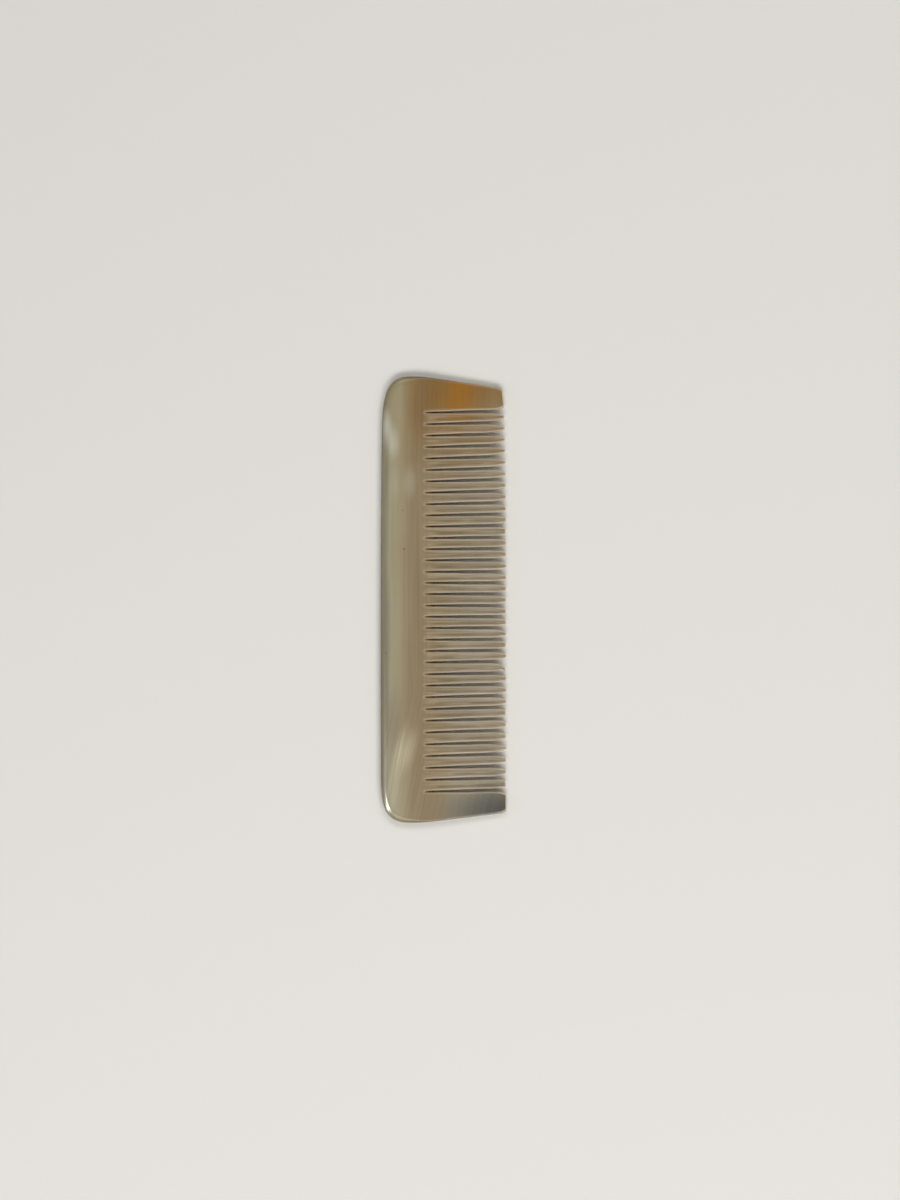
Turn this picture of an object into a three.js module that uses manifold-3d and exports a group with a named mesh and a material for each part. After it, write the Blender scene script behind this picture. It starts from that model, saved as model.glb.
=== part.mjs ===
// A one-piece pocket comb of polished horn, lying flat on one of its faces.
//
// Millimetres, +Z up. +Y runs along the comb, from the last end tooth to the first. The teeth point
// along +X. The origin is under the middle of the comb, on the surface that it lies on.
//
// The comb is made here as a comb maker makes it. A plate with rounded edges is ground to a slim wedge,
// thinnest at the tips. Slots are sawn into it, each filed wider along its flanks, and the tips are rounded.
// The plate is then set out as its back, its two end teeth and its fine teeth, which meet face to face
// just past where the saw broke through. They are one piece of horn: nothing moves and nothing is joined.

import * as THREE from "three";
import { mergeVertices } from "three/addons/utils/BufferGeometryUtils.js";
import Module from "manifold-3d";

// The plate.
const LENGTH = 130; // along Y, end to end
const WIDTH = 36.7; // along X, from the back's edge to the tips
const THICKNESS = 3.4; // along the back's edge
const TIP_THICKNESS = 2.1; // at the tips
const EDGE_ROUND = 1.05; // radius of the rounding along the back and the ends
const BACK_BOW = 0.55; // how far the back's edge falls in at the first end, from its fullest point
const BOW_PEAK = -16; // where along Y the back is fullest

// The plate's outline at its ends.
const CORNER_ALONG_END = 8.5; // from the back's edge to the end's highest point
const FIRST_CORNER_DOWN_BACK = 18; // from the end to where the back's edge runs straight
const LAST_CORNER_DOWN_BACK = 13;
const CORNER_FULLNESS = 0.75; // 0 is a straight cut across the corner and 1 a square one
const END_EASING = 6; // length over which the end turns into its slope
const FIRST_END_SLOPE = 7.9; // degrees that the end falls in towards the tips
const LAST_END_SLOPE = 6.5;

// The row of teeth.
const FINE_TEETH = 33;
const FIRST_END_TOOTH = 10.55; // from the comb's end to the middle of the first slot, at the root
const LAST_END_TOOTH = 9.15;
const TOOTH_LENGTH = 23.7; // from the root on the upper face to the tip
const TIP_SET_BACK = 1.05; // how much shorter the comb is at its first end
const SET_BACK_START = 18; // where along Y the tips begin to fall back

// The slots.
const SLOT_WIDTH = 0.84; // between filed flanks
const ROOT_KERF = 0.34; // at the root, as the saw left it
const SAW_RUN_OUT = 3.2; // how much further the slot reaches on the upper face than on the lower
const FILED_LENGTH = 11.5; // from the root to where the slot has its full width

// The tips.
const POINT_LENGTH = 5; // of the rounded point of a fine tooth
const NOSE_WIDTH = 0.4; // of the blunt nose at its very tip
const END_TOOTH_CORNER = 1; // radius of an end tooth's outer corner
const END_TOOTH_POINT = 1.8; // length of the rounding on its side towards the fine teeth
const END_TOOTH_SHOULDER = 0.7; // how far that rounding comes in
const ARRIS = 0.28; // bevel along the edges of the teeth

// The plate was moved past the saw by hand, so its slots aren't quite even.
const SPACING_BOW = 0.64; // how far the middle slots stand towards the first end
const SPACING_SWAY = 0.3; // how far the slots of the first half stand back, and of the second half forward
const HAND_WANDER = 0.06; // of each single slot
const WANDER_STEP = 2.1; // radians from one slot's wander to the next one's
const LEAN_MEAN = 0.62; // degrees that the teeth lean towards the first end
const LEAN_SWING = 0.6; // how much that changes along the comb
const LEAN_PERIOD = 25; // slots in one swing
const LEAN_PEAK = 4; // the slot that leans most

// Facets, and the room that a cutting solid has.
const OUTLINE_SEGMENTS = 10;
const EDGE_SEGMENTS = 3;
const POINT_SEGMENTS = 4;
const TIP_LINE_SEGMENTS = 14;
const CLEAR = 4; // how far a cutter stands out past the plate
const OVERRUN = 8; // how far the blank runs on past the tips before it is trimmed
const PROUD = 0.02; // how far a flared cutter stands out past the plate's two faces
const SPLIT_LAND = 0.2; // from where the saw broke through to where the teeth are set out
const TOOTH_BLOCK_LAP = 1; // how far a tooth's block reaches back over that line
const WELD = 1e-4; // points closer than this are one

const HORN = { color: 0xb9a682, roughness: 0.35, metalness: 0 };

// Places that follow from those sizes. Heights are on the square plate, before it is ground to a wedge.
const backX = -WIDTH / 2;
const tipX = WIDTH / 2;
const rootX = tipX - TOOTH_LENGTH;
const splitX = rootX + SAW_RUN_OUT + SPLIT_LAND;
const slotCount = FINE_TEETH + 1;
const firstSlotY = LENGTH / 2 - FIRST_END_TOOTH;
const lastSlotY = -LENGTH / 2 + LAST_END_TOOTH;

const slopeOf = (degrees) => Math.tan(THREE.MathUtils.degToRad(degrees));

const wasm = await Module();
wasm.setup();

/** A closed three.js geometry as a manifold-3d solid. */
function solidOf(geometry) {
  const bare = geometry.clone();
  bare.deleteAttribute("normal");
  bare.deleteAttribute("uv");
  const merged = mergeVertices(bare, WELD);
  return new wasm.Manifold(new wasm.Mesh({
    numProp: 3,
    vertProperties: merged.attributes.position.array,
    triVerts: new Uint32Array(merged.index.array),
  }));
}

/** A manifold-3d solid as a three.js geometry with flat faces. */
function geometryOf(solid) {
  const { vertProperties, triVerts } = solid.getMesh();
  const indexed = new THREE.BufferGeometry()
    .setAttribute("position", new THREE.BufferAttribute(vertProperties, 3))
    .setIndex(new THREE.BufferAttribute(triVerts, 1));
  const geometry = indexed.toNonIndexed();
  geometry.computeVertexNormals();
  return geometry;
}

/** How thick the plate is at x, as a share of its thickness along the back's edge. */
function wedgeShare(x) {
  return 1 - (1 - TIP_THICKNESS / THICKNESS) * ((x - backX) / WIDTH);
}

/** Moves every point of a geometry by a rule that changes the point it is given. */
function reshape(geometry, rule) {
  const positions = geometry.attributes.position;
  const point = new THREE.Vector3();
  for (let i = 0; i < positions.count; i += 1) {
    point.fromBufferAttribute(positions, i);
    rule(point);
    positions.setXYZ(i, point.x, point.y, point.z);
  }
  return geometry;
}

/** Grinds a square-plate geometry to the wedge: the underside stays flat and the upper face slopes. */
function ground(geometry) {
  return reshape(geometry, (point) => {
    point.z *= wedgeShare(point.x);
  });
}

/** A cutter through the whole plate that opens out by the arris at both faces. */
function flaredCutter(points) {
  const flare = ARRIS + PROUD;
  return new THREE.ExtrudeGeometry(new THREE.Shape(points), {
    depth: THICKNESS - 2 * ARRIS,
    bevelEnabled: true,
    bevelSegments: 1,
    bevelThickness: flare,
    bevelSize: -flare,
    bevelOffset: flare,
  }).translate(0, 0, ARRIS);
}

/** A straight-sided block as tall as needed, over an outline. */
function block(points) {
  const height = THICKNESS + 2 * CLEAR;
  const outline = new THREE.Shape(points);
  return new THREE.ExtrudeGeometry(outline, { depth: height, bevelEnabled: false }).translate(0, 0, -CLEAR);
}

/** The x of the back's edge at y: it bows out gently to its fullest point. */
function backEdgeAt(y) {
  return backX + BACK_BOW * ((y - BOW_PEAK) / (LENGTH / 2 - BOW_PEAK)) ** 2;
}

/** The x of the line of tips at y: it falls back towards the first end. */
function tipLineAt(y) {
  const share = Math.max(0, (y - SET_BACK_START) / (LENGTH / 2 - SET_BACK_START));
  return tipX - TIP_SET_BACK * share ** 2;
}

/** How far an end of the comb reaches from the middle at x, out along its slope. */
function endReachAt(x, slope) {
  return LENGTH / 2 - slopeOf(slope) * (x - backX - CORNER_ALONG_END - END_EASING / 2);
}

/** The y of a slot's middle at the root, with the small unevenness of hand work. */
function slotY(index) {
  const share = index / (slotCount - 1);
  const even = firstSlotY + (lastSlotY - firstSlotY) * share;
  const bow = SPACING_BOW * Math.sin(Math.PI * share);
  const sway = SPACING_SWAY * Math.sin(2 * Math.PI * share);
  const wander = HAND_WANDER * Math.sin(WANDER_STEP * index) * Math.sin(Math.PI * share);
  return even + bow - sway + wander;
}

/** The y of a slot's middle at x, as the slot leans a little. */
function slotMiddleAt(index, x) {
  const lean = LEAN_MEAN + LEAN_SWING * Math.cos((2 * Math.PI * (index - LEAN_PEAK)) / LEAN_PERIOD);
  return slotY(index) + slopeOf(lean) * (x - rootX);
}

/** Half the width of a slot at x: a saw kerf at the root, then filed open to the full width. */
function slotHalfWidthAt(x) {
  const share = THREE.MathUtils.clamp((x - rootX) / FILED_LENGTH, 0, 1);
  return (ROOT_KERF + (SLOT_WIDTH - ROOT_KERF) * share) / 2;
}

/** Where a slot's flank meets the line of tips, and how long the rounding is that it ends in. */
function mouthOf(index, side) {
  const neighbour = index - side;
  const middle = slotMiddleAt(index, tipX);
  if (neighbour < 0 || neighbour >= slotCount) {
    const y = middle + side * (SLOT_WIDTH / 2 + END_TOOTH_SHOULDER);
    return { x: tipLineAt(y), y, length: END_TOOTH_POINT };
  }
  const toothY = (middle + slotMiddleAt(neighbour, tipX)) / 2;
  return { x: tipLineAt(toothY), y: toothY - (side * NOSE_WIDTH) / 2, length: POINT_LENGTH };
}

/** One flank of a slot, from its root to past the tips. Its side is 1 towards the first end, or -1. */
function flankPoints(index, side) {
  const flankY = (x) => slotMiddleAt(index, x) + side * slotHalfWidthAt(x);
  const filedX = rootX + FILED_LENGTH;
  const mouth = mouthOf(index, side);
  const shoulderX = mouth.x - mouth.length;
  const points = [new THREE.Vector2(rootX, flankY(rootX)), new THREE.Vector2(filedX, flankY(filedX))];
  for (let step = 0; step <= POINT_SEGMENTS; step += 1) {
    const turn = (Math.PI / 2) * (step / POINT_SEGMENTS);
    const fall = (mouth.y - flankY(shoulderX)) * (1 - Math.cos(turn));
    points.push(new THREE.Vector2(shoulderX + mouth.length * Math.sin(turn), flankY(shoulderX) + fall));
  }
  points.push(new THREE.Vector2(tipX + CLEAR, mouth.y));
  return points;
}

/** The cutter for one slot. Its root slopes, as a saw cuts further on the face that it comes in by. */
function slotCutter(index) {
  const outline = [...flankPoints(index, -1), ...flankPoints(index, 1).reverse()];
  const cutter = flaredCutter(outline);
  const endOfRoot = rootX + SAW_RUN_OUT;
  return reshape(cutter, (point) => {
    if (point.x < endOfRoot) {
      point.x += SAW_RUN_OUT * (1 - point.z / THICKNESS);
    }
  });
}

/** The cutter that trims the comb to its line of tips and rounds the end teeth's outer corners. */
function tipCutter() {
  const firstY = endReachAt(tipX, FIRST_END_SLOPE);
  const lastY = -endReachAt(tipX, LAST_END_SLOPE);
  const inner = [];
  for (let step = 0; step <= TIP_LINE_SEGMENTS; step += 1) {
    const share = step / TIP_LINE_SEGMENTS;
    const y = lastY + END_TOOTH_CORNER + (firstY - lastY - 2 * END_TOOTH_CORNER) * share;
    inner.push(new THREE.Vector2(tipLineAt(y), y));
  }
  const outer = [-1, 1].map((side) => cornerPoints(side, side < 0 ? lastY : firstY));
  const farX = tipX + OVERRUN + CLEAR;
  const far = [
    new THREE.Vector2(farX, firstY + CLEAR),
    new THREE.Vector2(farX, lastY - CLEAR),
  ];
  return flaredCutter([...outer[0].reverse(), ...inner, ...outer[1], ...far]);
}

/** The round of an end tooth's outer corner, from the line of tips out past the comb's end at endY. */
function cornerPoints(side, endY) {
  const startY = endY - side * END_TOOTH_CORNER;
  const points = [];
  for (let step = 1; step <= POINT_SEGMENTS; step += 1) {
    const turn = (Math.PI / 2) * (step / POINT_SEGMENTS);
    const x = tipLineAt(startY) - END_TOOTH_CORNER * (1 - Math.cos(turn));
    points.push(new THREE.Vector2(x, startY + side * END_TOOTH_CORNER * Math.sin(turn)));
  }
  const last = points.at(-1);
  points.push(new THREE.Vector2(last.x, endY + side * CLEAR));
  return points;
}

/** The plate's outline before it is sawn. It runs on past the tips, which are trimmed afterwards. */
function plateOutline() {
  const end = LENGTH / 2;
  const cornerX = backX + CORNER_ALONG_END;
  const cornerPullX = cornerX - CORNER_ALONG_END * CORNER_FULLNESS;
  const easedX = cornerX + END_EASING;
  const farX = tipX + OVERRUN;
  const firstY = end - FIRST_CORNER_DOWN_BACK;
  const lastY = -end + LAST_CORNER_DOWN_BACK;
  const [firstX, lastX] = [backEdgeAt(firstY), backEdgeAt(lastY)];
  const middleY = (firstY + lastY) / 2;
  const bowX = 2 * backEdgeAt(middleY) - (firstX + lastX) / 2;

  const outline = new THREE.Shape();
  outline.moveTo(farX, endReachAt(farX, FIRST_END_SLOPE));
  outline.lineTo(easedX, endReachAt(easedX, FIRST_END_SLOPE));
  outline.quadraticCurveTo(cornerX + END_EASING / 2, end, cornerX, end);
  outline.bezierCurveTo(
    cornerPullX, end,
    firstX, firstY + FIRST_CORNER_DOWN_BACK * CORNER_FULLNESS,
    firstX, firstY,
  );
  outline.quadraticCurveTo(bowX, middleY, lastX, lastY);
  outline.bezierCurveTo(
    lastX, lastY - LAST_CORNER_DOWN_BACK * CORNER_FULLNESS,
    cornerPullX, -end,
    cornerX, -end,
  );
  outline.quadraticCurveTo(cornerX + END_EASING / 2, -end, easedX, -endReachAt(easedX, LAST_END_SLOPE));
  outline.lineTo(farX, -endReachAt(farX, LAST_END_SLOPE));
  return outline;
}

/** The plate with its rounded edges, square in section. */
function plateBlank() {
  return new THREE.ExtrudeGeometry(plateOutline(), {
    depth: THICKNESS - 2 * EDGE_ROUND,
    curveSegments: OUTLINE_SEGMENTS,
    bevelEnabled: true,
    bevelSegments: EDGE_SEGMENTS,
    bevelThickness: EDGE_ROUND,
    bevelSize: EDGE_ROUND,
    bevelOffset: -EDGE_ROUND,
  }).translate(0, 0, EDGE_ROUND);
}

/** The whole comb as one solid: the blank, ground, trimmed at the tips and sawn. */
function sawnComb() {
  let comb = solidOf(ground(plateBlank())).subtract(solidOf(ground(tipCutter())));
  for (let index = 0; index < slotCount; index += 1) {
    comb = comb.subtract(solidOf(ground(slotCutter(index))));
  }
  return comb;
}

/** The block of everything between the back's edge and the plane where the teeth are set out. */
function backBlock() {
  const [nearX, endY] = [backX - CLEAR, LENGTH / 2 + CLEAR];
  return solidOf(block([
    new THREE.Vector2(nearX, -endY),
    new THREE.Vector2(splitX, -endY),
    new THREE.Vector2(splitX, endY),
    new THREE.Vector2(nearX, endY),
  ]));
}

/** The block around one tooth, which runs down the middle of the slots above and below it. */
function toothBlock(index) {
  const [nearX, farX] = [splitX - TOOTH_BLOCK_LAP, tipX + CLEAR];
  const edgeY = (slot, x) => {
    if (slot < 0) return LENGTH / 2 + CLEAR;
    if (slot >= slotCount) return -LENGTH / 2 - CLEAR;
    return slotMiddleAt(slot, x);
  };
  return solidOf(block([
    new THREE.Vector2(nearX, edgeY(index, nearX)),
    new THREE.Vector2(farX, edgeY(index, farX)),
    new THREE.Vector2(farX, edgeY(index - 1, farX)),
    new THREE.Vector2(nearX, edgeY(index - 1, nearX)),
  ]));
}

/** A named mesh of a solid, in a material of its own. */
function hornMesh(name, solid) {
  const mesh = new THREE.Mesh(geometryOf(solid), new THREE.MeshStandardMaterial(HORN));
  mesh.name = name;
  return mesh;
}

/** The name of the tooth above the slot index: the row starts and ends with an end tooth. */
function toothName(index) {
  if (index === 0) return "end_tooth_first";
  if (index === slotCount) return "end_tooth_last";
  return `tooth_${String(index).padStart(2, "0")}`;
}

const comb = new THREE.Group();
const sawn = sawnComb();
const teeth = sawn.subtract(backBlock());
comb.add(hornMesh("back", sawn.intersect(backBlock())));
for (let index = 0; index <= slotCount; index += 1) {
  comb.add(hornMesh(toothName(index), teeth.intersect(toothBlock(index))));
}

export default comb;
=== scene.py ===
"""A one-piece pocket comb of polished blond horn, lying on a pale floor in soft studio light.

The comb is one closed surface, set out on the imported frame's nodes: a plate sawn into teeth, with
rounded edges, filed flanks and hand-rounded points. Lengths are in metres, but the shapes of the
tips and the places in the horn's finish are given in millimetres.
"""

from __future__ import annotations

import logging
import math
from dataclasses import dataclass, field
from enum import Enum

import bpy
import numpy as np
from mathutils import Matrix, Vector

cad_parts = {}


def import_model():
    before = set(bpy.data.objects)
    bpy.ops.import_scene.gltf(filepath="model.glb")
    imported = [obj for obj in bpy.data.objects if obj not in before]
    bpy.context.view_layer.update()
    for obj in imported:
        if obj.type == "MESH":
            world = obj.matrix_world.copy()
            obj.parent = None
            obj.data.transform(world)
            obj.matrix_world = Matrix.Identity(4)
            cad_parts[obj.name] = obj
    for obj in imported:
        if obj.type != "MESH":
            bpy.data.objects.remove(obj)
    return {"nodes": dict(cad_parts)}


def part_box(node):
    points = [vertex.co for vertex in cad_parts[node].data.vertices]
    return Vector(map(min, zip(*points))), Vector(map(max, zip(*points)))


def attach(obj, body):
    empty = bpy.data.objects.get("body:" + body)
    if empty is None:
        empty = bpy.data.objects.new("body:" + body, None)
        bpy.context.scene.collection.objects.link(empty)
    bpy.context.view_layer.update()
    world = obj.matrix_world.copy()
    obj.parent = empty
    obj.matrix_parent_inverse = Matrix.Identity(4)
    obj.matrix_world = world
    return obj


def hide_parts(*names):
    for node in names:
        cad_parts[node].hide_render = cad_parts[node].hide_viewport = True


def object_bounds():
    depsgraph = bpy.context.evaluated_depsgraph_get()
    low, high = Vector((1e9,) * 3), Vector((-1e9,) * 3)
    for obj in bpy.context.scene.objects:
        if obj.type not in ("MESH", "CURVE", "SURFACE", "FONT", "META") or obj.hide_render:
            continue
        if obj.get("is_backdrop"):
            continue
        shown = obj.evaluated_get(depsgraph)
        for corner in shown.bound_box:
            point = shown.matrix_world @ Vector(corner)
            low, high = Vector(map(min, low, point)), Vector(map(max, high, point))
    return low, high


MM = 0.001
FINE_TEETH = 33
# The mesh's masks: a painted highlight on the sawn rims, painted shade on the outer rims, painted amber
# glow and shade in the slots' roots, and a darker core line on the fine teeth.
MASKS = ("sawn_rim_highlight", "outer_rim_shade", "kerf", "core")
WELD_DIGITS = 8

log = logging.getLogger("comb")


# ---------------------------------------------------------------------------------------------
# Curves and patches
# ---------------------------------------------------------------------------------------------


def smoothstep(low: float, high: float, value: np.ndarray) -> np.ndarray:
    """Rises from 0 at low to 1 at high, level at both ends (3t^2 - 2t^3).

    Args:
        low: Where the step starts.
        high: Where it is done.
        value: The places to work it out for.

    Returns:
        The step's height at each place, from 0 to 1.
    """
    t = np.clip((np.asarray(value, float) - low) / (high - low), 0.0, 1.0)
    return t * t * (3.0 - 2.0 * t)


def bezier(points: list[tuple[float, float]], steps: int) -> np.ndarray:
    """A Bezier curve by repeated blending: each round mixes neighbouring points by the parameter.

    Args:
        points: The control points, three for a quadratic curve and four for a cubic one.
        steps: How many equal steps of the parameter to take.

    Returns:
        The curve's points, shaped (steps + 1, 2).
    """
    t = np.linspace(0.0, 1.0, steps + 1)[:, None]
    layer = [np.broadcast_to(np.array(p, float), (steps + 1, 2)) for p in points]
    while len(layer) > 1:
        layer = [a + (b - a) * t for a, b in zip(layer, layer[1:])]
    return layer[0]


def resample(path: np.ndarray, shares: np.ndarray) -> np.ndarray:
    """Points along a path at shares of its length, by straight interpolation on the summed length.

    Args:
        path: The path's points, shaped (n, 2).
        shares: Rising numbers from 0 at the start to 1 at the end.

    Returns:
        One point for each share.
    """
    run = np.concatenate([[0.0], np.cumsum(np.linalg.norm(np.diff(path, axis=0), axis=1))])
    return np.stack([np.interp(shares * run[-1], run, path[:, i]) for i in range(2)], axis=1)


def coons(
    start: np.ndarray, end: np.ndarray, first: np.ndarray, last: np.ndarray, power: float = 1.0
) -> np.ndarray:
    """Fills four edges with a grid: the two ruled surfaces between facing edges, less the flat one.

    The blend from start to end follows u raised to a power, so a high one keeps the shape of the
    end to the last few columns.

    Args:
        start: The edge at u = 0, shaped (v + 1, k).
        end: The edge at u = 1, shaped (v + 1, k).
        first: The edge at v = 0, shaped (u + 1, k).
        last: The edge at v = 1, shaped (u + 1, k).
        power: How late the end's shape comes in.

    Returns:
        The grid, shaped (v + 1, u + 1, k). Its rim holds the edges' own numbers.
    """
    u = np.linspace(0.0, 1.0, first.shape[0])[None, :, None] ** power
    v = np.linspace(0.0, 1.0, start.shape[0])[:, None, None]
    across = start[:, None] * (1 - u) + end[:, None] * u
    along = first[None] * (1 - v) + last[None] * v
    flat = (start[0] * (1 - u) + end[0] * u) * (1 - v) + (start[-1] * (1 - u) + end[-1] * u) * v
    grid = across + along - flat
    grid[:, 0], grid[:, -1] = start, end
    grid[0], grid[-1] = first, last
    return grid


def grid_faces(rows: int, columns: int, offset: int, flip: bool) -> np.ndarray:
    """The four-sided faces of a grid of vertices, numbered row by row.

    Args:
        rows: How many rows of vertices there are.
        columns: How many vertices a row has.
        offset: The number of the grid's first vertex.
        flip: Turns the faces over.

    Returns:
        Vertex numbers, shaped (faces, 4).
    """
    index = np.arange(rows * columns).reshape(rows, columns) + offset
    quads = np.stack([index[:-1, :-1], index[1:, :-1], index[1:, 1:], index[:-1, 1:]], axis=-1)
    quads = quads.reshape(-1, 4)
    return quads[:, ::-1] if flip else quads


# ---------------------------------------------------------------------------------------------
# The comb's plan
# ---------------------------------------------------------------------------------------------


class TipShape(Enum):
    """How a fine tooth's point was filed.

    The numbers are the power of the closing curve, how far the apex is shifted towards the first
    end, how much is cut off and how long the point is, the last three in millimetres.
    """

    NARROW = (0.95, -0.05, 0.00, 6.2)
    POINTED = (0.90, -0.12, 0.00, 5.4)
    ROUND = (0.74, -0.16, 0.00, 5.1)
    BLUNT = (0.57, -0.16, 0.05, 4.8)
    SQUARE = (0.36, -0.05, 0.15, 4.6)
    HOOKED = (0.90, -0.30, 0.20, 5.0)


TIP_SHAPES = {
    1: TipShape.NARROW, 2: TipShape.NARROW, 3: TipShape.NARROW, 4: TipShape.NARROW,
    5: TipShape.NARROW, 6: TipShape.POINTED, 7: TipShape.BLUNT, 8: TipShape.POINTED,
    9: TipShape.BLUNT, 11: TipShape.SQUARE, 12: TipShape.BLUNT, 13: TipShape.BLUNT,
    16: TipShape.BLUNT, 18: TipShape.BLUNT, 19: TipShape.BLUNT, 20: TipShape.POINTED,
    21: TipShape.SQUARE, 23: TipShape.HOOKED, 27: TipShape.SQUARE, 28: TipShape.BLUNT,
    30: TipShape.NARROW, 32: TipShape.POINTED, 33: TipShape.SQUARE,
}


@dataclass
class ToothRow:
    """The sawn slots and the tips, as the frame's nodes have them.

    A slot is a straight middle line with a half width that grows from the saw's kerf to the filed
    width. Each line is drawn through the middle of the gap between two nodes at two stations.
    """

    nodes: dict[str, bpy.types.Object]
    tooth_length: float = 23.7 * MM
    filed_length: float = 11.5 * MM
    root_kerf: float = 0.34 * MM
    slot_width: float = 0.84 * MM
    run_out: float = 3.2 * MM
    run_in: float = 2.6 * MM
    narrow_start: float = 0.4
    station_reach: float = 0.06 * MM
    names: list[str] = field(init=False)
    root_x: float = field(init=False)
    tip_x: np.ndarray = field(init=False)
    middle_start: np.ndarray = field(init=False)
    middle_slope: np.ndarray = field(init=False)

    def __post_init__(self) -> None:
        """Reads the stations from the nodes."""
        fine = [f"tooth_{number:02d}" for number in range(1, FINE_TEETH + 1)]
        self.names = ["end_tooth_first", *fine, "end_tooth_last"]
        self.tip_x = np.array([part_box(name)[1].x for name in self.names])
        self.root_x = self.tip_x.max() - self.tooth_length
        near = min(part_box(name)[0].x for name in self.names)
        far = self.root_x + self.filed_length
        gaps = np.array([self._gap_middles(near), self._gap_middles(far)])
        self.middle_slope = (gaps[1] - gaps[0]) / (far - near)
        self.middle_start = gaps[0] + self.middle_slope * (self.root_x - near)

    def _gap_middles(self, station: float) -> np.ndarray:
        """The y of each slot's middle at a station.

        Args:
            station: The x to measure at, where every node has vertices.

        Returns:
            One y for each slot, the first slot first.
        """
        extents = np.array([self._extent(name, station) for name in self.names])
        return (extents[:-1, 0] + extents[1:, 1]) / 2

    def _extent(self, name: str, station: float) -> tuple[float, float]:
        """The lowest and highest y of a node's vertices at a station.

        Args:
            name: The node's name.
            station: The x to measure at.

        Returns:
            The lowest y and the highest.
        """
        mesh = self.nodes[name].data
        places = np.empty(len(mesh.vertices) * 3)
        mesh.vertices.foreach_get("co", places)
        places = places.reshape(-1, 3)
        y = places[np.abs(places[:, 0] - station) < self.station_reach, 1]
        return float(y.min()), float(y.max())

    def middle(self, slot: int, x: np.ndarray) -> np.ndarray:
        """The y of a slot's middle line at x: its start plus its slope times the way from the root."""
        return self.middle_start[slot] + self.middle_slope[slot] * (x - self.root_x)

    def half_width(self, x: np.ndarray) -> np.ndarray:
        """Half of a slot's width at x: the kerf, run in from a narrower start, growing to the file's.

        Args:
            x: Where along the slots.

        Returns:
            Half of the width at each x.
        """
        share = np.clip((x - self.root_x) / self.filed_length, 0.0, 1.0)
        run_in = smoothstep(self.root_x, self.root_x + self.run_in, x)
        start = self.narrow_start + (1 - self.narrow_start) * run_in
        return (self.root_kerf + (self.slot_width - self.root_kerf) * share) * start / 2


@dataclass
class PlateEdge:
    """The plate's outer edge in plan, from one end tooth round the back to the other."""

    low: Vector
    high: Vector
    back_bow: float = 0.55 * MM
    bow_peak: float = -16.0 * MM
    corner_along_end: float = 8.5 * MM
    first_corner_down: float = 18.0 * MM
    last_corner_down: float = 13.0 * MM
    fullness: float = 0.75
    easing: float = 6.0 * MM
    back_points: int = 120
    corner_steps: int = 160
    end_points: int = 80
    first_slope: float = math.tan(math.radians(7.9))
    last_slope: float = math.tan(math.radians(6.5))

    def back_x(self, y: float) -> float:
        """The back's edge at y: it falls in from its fullest point with the square of the distance."""
        return self.low.x + self.back_bow * ((y - self.bow_peak) / (self.high.y - self.bow_peak)) ** 2

    def end_y(self, x: np.ndarray, side: int) -> np.ndarray:
        """An end of the comb at x, past its highest point.

        It falls with the square of the distance over the easing, and then evenly.

        Args:
            x: Where along the end.
            side: 1 for the first end and -1 for the last.

        Returns:
            The y of the end there.
        """
        slope, end = (self.first_slope, self.high.y) if side > 0 else (self.last_slope, self.low.y)
        past = np.maximum(np.asarray(x, float) - self.low.x - self.corner_along_end, 0.0)
        fall = np.where(past < self.easing, past * past / (2 * self.easing), past - self.easing / 2)
        return end - side * slope * fall

    def half(self, side: int, to_x: float) -> np.ndarray:
        """The edge from the middle of the back, round a corner and out along an end.

        The corner is a cubic Bezier curve with even handles.

        Args:
            side: 1 for the first end and -1 for the last.
            to_x: Where along the end to stop.

        Returns:
            Closely spaced points, shaped (n, 2).
        """
        end = self.high.y if side > 0 else self.low.y
        down = self.first_corner_down if side > 0 else self.last_corner_down
        corner_y = end - side * down
        corner_x = self.low.x + self.corner_along_end
        edge_x = self.back_x(corner_y)
        pull = corner_x - self.corner_along_end * self.fullness
        back_y = np.linspace(self.bow_peak, corner_y, self.back_points)[:-1]
        back = np.stack([self.back_x(back_y), back_y], axis=1)
        handle = (edge_x, corner_y + side * down * self.fullness)
        handles = [(edge_x, corner_y), handle, (pull, end), (corner_x, end)]
        corner = bezier(handles, self.corner_steps)
        x = np.linspace(corner_x, to_x, self.end_points)[1:]
        return np.concatenate([back, corner, np.stack([x, self.end_y(x, side)], axis=1)])


# ---------------------------------------------------------------------------------------------
# The comb's surface
# ---------------------------------------------------------------------------------------------


Flanks = tuple[np.ndarray, np.ndarray, np.ndarray]


@dataclass(frozen=True)
class Parts:
    """The numbers of the outline's points along each of its parts.

    A tooth has an upper flank, a nose and a lower flank, and a cap is the root between two teeth.
    """

    first_end: np.ndarray
    last_end: np.ndarray
    back: np.ndarray
    teeth: list[Flanks]
    caps: list[np.ndarray]


@dataclass(frozen=True)
class RimLightAndCore:
    """Where the painted highlight on the filed rims, the painted shade on the outer rims, the painted
    amber glow and shade in the slots' roots, and the teeth's core lines show.

    A pair gives where a mask starts and where it is done. The filed ones and the core's end are
    measured from the tips, and the others from the slots' roots. Shares of the rounding's depth and
    of a tooth's width run from 0 to 1.
    """

    # The filed and rim numbers place the painted highlight on the sawn rims and the painted shade on the
    # outer rims.
    filed_ends: tuple[float, float] = (22 * MM, 2 * MM)
    filed_points: tuple[float, float] = (3.5 * MM, 0.5 * MM)
    rim_least: float = 0.25
    rim_depth: float = 0.7
    sawn_share: float = 0.7
    # The painted amber glow and shade in the slots' roots: how far it reaches from them, and how deep
    # into the rounding it grows.
    root_glow_shade_reach: tuple[float, float] = (0.5 * MM, 5.5 * MM)
    root_glow_shade_depth: float = 0.6
    core_place: float = 0.64
    core_width: float = 0.17
    core_start: tuple[float, float] = (1 * MM, 5 * MM)
    core_end: tuple[float, float] = (4 * MM, 1 * MM)


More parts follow.
